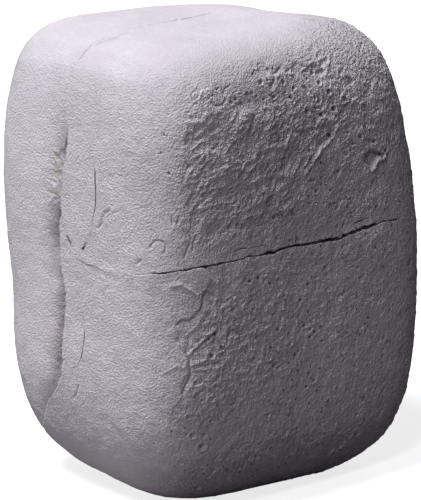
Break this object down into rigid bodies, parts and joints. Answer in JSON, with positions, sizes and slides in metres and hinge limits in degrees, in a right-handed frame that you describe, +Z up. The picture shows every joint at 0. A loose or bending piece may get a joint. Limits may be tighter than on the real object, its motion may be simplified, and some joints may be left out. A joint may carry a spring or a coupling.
{
  "type": "gymnastics chalk block",
  "caption": "Worn rectangular cake of pressed gymnastics chalk, cracked through in two planes, whose chunks and loose skin flakes lift away along the cracks.",
  "frame": {"origin": "middle of the flat worn base, on the plane that the block stands on", "axes": "+Z up along the block's longest side, -Y out of the front face with the level crack, -X out of the left face with the upright crack"},
  "size_m": [0.0507, 0.0401, 0.0633],
  "materials": {
    "pressed_chalk": "matt pressed powder with fine grain, pits and chipped scars",
    "pressed_skin": "matt, smoother skin of the press"
  },
  "bodies": {
    "lower": {"lower_chunk": "pressed_chalk"},
    "upper": {"upper_chunk": "pressed_chalk"},
    "slab": {"back_slab": "pressed_chalk"},
    "upper_plate": {"upper_skin_plate": "pressed_skin"},
    "lower_plate": {"lower_skin_plate": "pressed_skin"},
    "end_flap": {"crack_end_flap": "pressed_skin"},
    "middle_sliver": {"middle_crack_sliver": "pressed_skin"},
    "right_sliver": {"right_crack_sliver": "pressed_skin"}
  },
  "joints": [
    {"name": "upper_chunk_lift", "type": "slide", "parent": "lower", "child": "upper", "axis": [0, -0.6, 0.8], "range_m": [0, 0.03]},
    {"name": "back_slab_part", "type": "slide", "parent": "lower", "child": "slab", "axis": [0, 1, 0], "range_m": [0, 0.03]},
    {"name": "upper_plate_peel", "type": "slide", "parent": "upper", "child": "upper_plate", "axis": [-1, 0, 0], "range_m": [0, 0.012]},
    {"name": "lower_plate_peel", "type": "slide", "parent": "lower", "child": "lower_plate", "axis": [-1, 0, 0], "range_m": [0, 0.012]},
    {"name": "end_flap_peel", "type": "slide", "parent": "lower", "child": "end_flap", "axis": [-0.5883, -0.7845, -0.1961], "range_m": [0, 0.012]},
    {"name": "middle_sliver_peel", "type": "slide", "parent": "upper", "child": "middle_sliver", "axis": [0, -1, 0], "range_m": [0, 0.012]},
    {"name": "right_sliver_peel", "type": "slide", "parent": "upper", "child": "right_sliver", "axis": [0, -1, 0], "range_m": [0, 0.012]}
  ]
}
